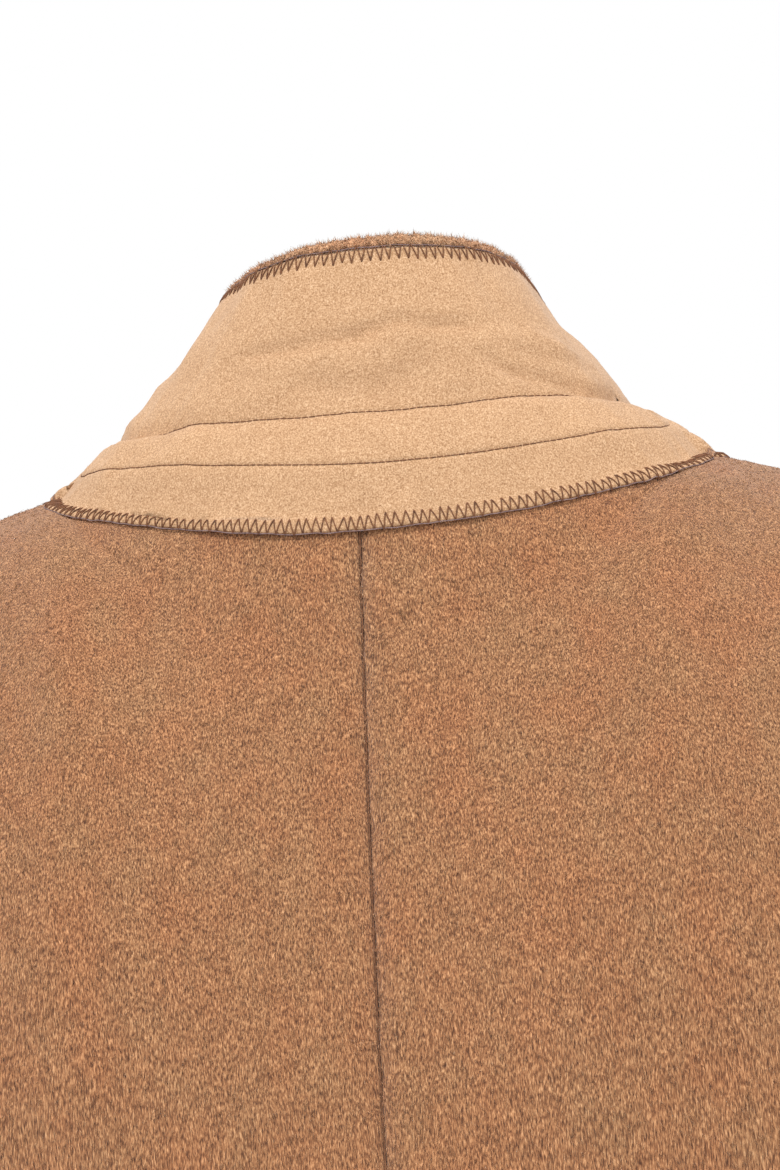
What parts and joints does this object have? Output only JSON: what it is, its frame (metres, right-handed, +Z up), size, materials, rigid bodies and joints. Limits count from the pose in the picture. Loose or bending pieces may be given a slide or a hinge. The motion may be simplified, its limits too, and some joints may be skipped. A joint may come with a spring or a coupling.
{
  "type": "topcoat",
  "caption": "Knee-length single-breasted wool topcoat, worn hollow form, with its felt-backed collar turned up.",
  "frame": {"origin": "middle of the neck opening, level with the points where the shoulder seams meet the neck; the wearer's neck and shoulders hold the coat up there", "axes": "+Z up towards the head, -Y the way the wearer faces, +X the wearer's left"},
  "size_m": [0.764, 0.3325, 1.0705],
  "materials": {
    "camel_wool": "soft brushed wool coating with a short lying nap",
    "tan_felt": "matt undercollar felt",
    "brown_horn": "polished dark brown horn"
  },
  "bodies": {
    "root": {"back_left": "camel_wool", "back_right": "camel_wool", "front_left": "camel_wool", "front_right": "camel_wool", "lapel_left": "camel_wool", "lapel_right": "camel_wool", "top_sleeve_left": "camel_wool", "under_sleeve_left": "camel_wool", "top_sleeve_right": "camel_wool", "under_sleeve_right": "camel_wool", "top_collar": "camel_wool", "undercollar": "tan_felt", "button_1": "brown_horn", "button_2": "brown_horn", "button_3": "brown_horn"}
  },
  "joints": []
}
